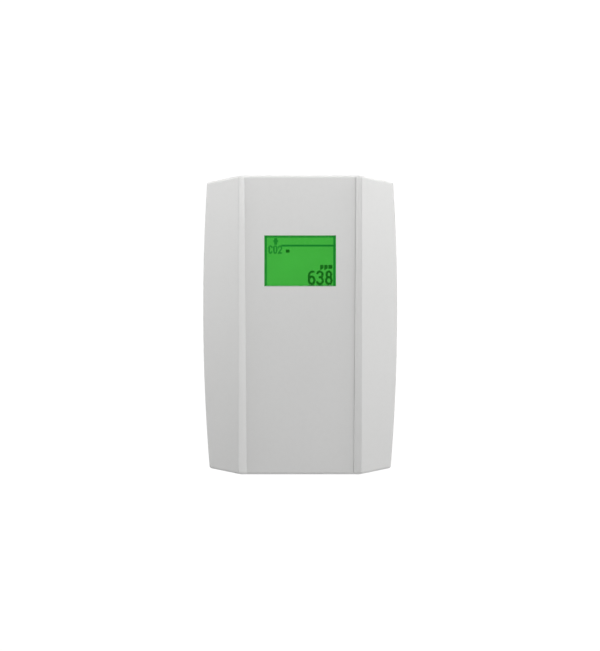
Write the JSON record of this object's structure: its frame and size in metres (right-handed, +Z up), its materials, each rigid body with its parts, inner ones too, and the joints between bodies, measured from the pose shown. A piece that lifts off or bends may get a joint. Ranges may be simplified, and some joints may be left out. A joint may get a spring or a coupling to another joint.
{
  "type": "room air quality monitor",
  "caption": "Wall-mounted room air quality monitor: a deep two-part plastic case with a sunk centre panel, a lit display and gas sensing electronics inside.",
  "frame": {"origin": "centre of the back plate's rear face, on the wall", "axes": "+X to the right for someone facing the monitor, +Y into the wall, +Z up; the front faces -Y"},
  "size_m": [0.099, 0.0359, 0.152],
  "materials": {
    "cover_plastic": "fine moulded texture",
    "base_plastic": "fine moulded texture",
    "window_clear": "polished",
    "foam_tape": "matt",
    "board_laminate": "solder mask",
    "screw_steel": "zinc plated",
    "terminal_housing": "moulded",
    "terminal_metal": "tin plated",
    "capacitor_can": "drawn can",
    "ferrite": "matt",
    "chip_epoxy": "moulded",
    "suppressor_blue": "dipped",
    "fuse_yellow": "coated",
    "lead_tin": "tin plated",
    "crystal_can": "plated can",
    "resistor_body": "glazed",
    "capacitor_body": "fired",
    "header_black": "moulded",
    "pin_gold": "gold plated",
    "jumper_red": "moulded",
    "cell_housing": "moulded",
    "filter_cloth": "felted",
    "lamp_glass": "clear",
    "detector_can": "plated can",
    "spacer_brass": "nickel plated",
    "lcd_face": "green, lit from behind",
    "backlight_guide": "frosted",
    "lamp_white": "moulded",
    "bezel_black": "moulded",
    "ribbon_film": "film",
    "connector_ivory": "moulded",
    "key_black": "moulded"
  },
  "bodies": {
    "base": {"back_plate": "base_plastic", "main_board": "board_laminate", "board_screws": "screw_steel", "terminal_block": "terminal_housing", "terminal_contacts": "terminal_metal", "supply_capacitors": "capacitor_can", "supply_inductor": "ferrite", "bridge_rectifier": "chip_epoxy", "voltage_regulator": "chip_epoxy", "surge_suppressor": "suppressor_blue", "resettable_fuse": "fuse_yellow", "microcontroller": "chip_epoxy", "amplifier_chips": "chip_epoxy", "chip_leads": "lead_tin", "clock_crystal": "crystal_can", "chip_resistors": "resistor_body", "chip_capacitors": "capacitor_body", "jumper_headers": "header_black", "jumper_pins": "pin_gold", "co2_cell_board": "board_laminate", "co2_cell_pins": "header_black", "co2_cell_housing": "cell_housing", "co2_cell_filters": "filter_cloth", "co2_cell_lamp": "lamp_glass", "co2_cell_detector": "detector_can", "climate_sensor": "chip_epoxy", "display_spacers": "spacer_brass", "spacer_nuts": "spacer_brass", "display_board": "board_laminate", "display_screws": "screw_steel", "link_socket": "header_black", "link_header": "header_black", "link_pins": "pin_gold", "lcd_backlight": "backlight_guide", "backlight_lamps": "lamp_white", "lcd_glass": "lcd_face", "lcd_bezel": "bezel_black", "ribbon_connector": "connector_ivory", "lcd_ribbon": "ribbon_film", "button_bodies": "key_black", "button_frames": "screw_steel"},
    "cover": {"front_cover": "cover_plastic", "display_window": "window_clear", "window_tape": "foam_tape"},
    "latch": {"snap_latch": "base_plastic"},
    "menu_button": {"menu_button": "key_black"},
    "down_button": {"down_button": "key_black"},
    "up_button": {"up_button": "key_black"},
    "enter_button": {"enter_button": "key_black"},
    "terminal_screw_1": {"terminal_screw_1": "screw_steel"},
    "wire_clamp_1": {"wire_clamp_1": "terminal_metal"},
    "terminal_screw_2": {"terminal_screw_2": "screw_steel"},
    "wire_clamp_2": {"wire_clamp_2": "terminal_metal"},
    "terminal_screw_3": {"terminal_screw_3": "screw_steel"},
    "wire_clamp_3": {"wire_clamp_3": "terminal_metal"},
    "terminal_screw_4": {"terminal_screw_4": "screw_steel"},
    "wire_clamp_4": {"wire_clamp_4": "terminal_metal"},
    "output_jumper_1": {"output_jumper_1": "jumper_red"},
    "output_jumper_2": {"output_jumper_2": "jumper_red"}
  },
  "joints": [
    {"name": "cover_hinge", "type": "hinge", "parent": "base", "child": "cover", "pos_m": [0, -0.0065, 0.0715], "axis": [-1, 0, 0], "range_deg": [0, 90]},
    {"name": "latch_snap", "type": "hinge", "parent": "base", "child": "latch", "pos_m": [0, -0.0034, -0.0701], "axis": [1, 0, 0], "range_deg": [0, 10], "stiffness_Nm_per_rad": 0.2, "springref_deg": 10},
    {"name": "menu_press", "type": "slide", "parent": "base", "child": "menu_button", "axis": [0, 1, 0], "range_m": [0, 0.00025], "stiffness_N_per_m": 2500},
    {"name": "down_press", "type": "slide", "parent": "base", "child": "down_button", "axis": [0, 1, 0], "range_m": [0, 0.00025], "stiffness_N_per_m": 2500},
    {"name": "up_press", "type": "slide", "parent": "base", "child": "up_button", "axis": [0, 1, 0], "range_m": [0, 0.00025], "stiffness_N_per_m": 2500},
    {"name": "enter_press", "type": "slide", "parent": "base", "child": "enter_button", "axis": [0, 1, 0], "range_m": [0, 0.00025], "stiffness_N_per_m": 2500},
    {"name": "terminal_screw_1_turn", "type": "hinge", "parent": "base", "child": "terminal_screw_1", "pos_m": [-0.02862, -0.0175, -0.0289], "axis": [0, 1, 0], "range_deg": [0, 1440]},
    {"name": "wire_clamp_1_lift", "type": "slide", "parent": "base", "child": "wire_clamp_1", "axis": [0, -1, 0], "range_m": [0, 0.0016]},
    {"name": "terminal_screw_2_turn", "type": "hinge", "parent": "base", "child": "terminal_screw_2", "pos_m": [-0.02354, -0.0175, -0.0289], "axis": [0, 1, 0], "range_deg": [0, 1440]},
    {"name": "wire_clamp_2_lift", "type": "slide", "parent": "base", "child": "wire_clamp_2", "axis": [0, -1, 0], "range_m": [0, 0.0016]},
    {"name": "terminal_screw_3_turn", "type": "hinge", "parent": "base", "child": "terminal_screw_3", "pos_m": [-0.01846, -0.0175, -0.0289], "axis": [0, 1, 0], "range_deg": [0, 1440]},
    {"name": "wire_clamp_3_lift", "type": "slide", "parent": "base", "child": "wire_clamp_3", "axis": [0, -1, 0], "range_m": [0, 0.0016]},
    {"name": "terminal_screw_4_turn", "type": "hinge", "parent": "base", "child": "terminal_screw_4", "pos_m": [-0.01338, -0.0175, -0.0289], "axis": [0, 1, 0], "range_deg": [0, 1440]},
    {"name": "wire_clamp_4_lift", "type": "slide", "parent": "base", "child": "wire_clamp_4", "axis": [0, -1, 0], "range_m": [0, 0.0016]},
    {"name": "output_jumper_1_pull", "type": "slide", "parent": "base", "child": "output_jumper_1", "axis": [0, -1, 0], "range_m": [0, 0.008]},
    {"name": "output_jumper_2_pull", "type": "slide", "parent": "base", "child": "output_jumper_2", "axis": [0, -1, 0], "range_m": [0, 0.008]}
  ],
  "couplings": [
    {"joint": "terminal_screw_1_turn", "follows": "wire_clamp_1_lift", "rad_per_m": 15708},
    {"joint": "terminal_screw_2_turn", "follows": "wire_clamp_2_lift", "rad_per_m": 15708},
    {"joint": "terminal_screw_3_turn", "follows": "wire_clamp_3_lift", "rad_per_m": 15708},
    {"joint": "terminal_screw_4_turn", "follows": "wire_clamp_4_lift", "rad_per_m": 15708}
  ]
}
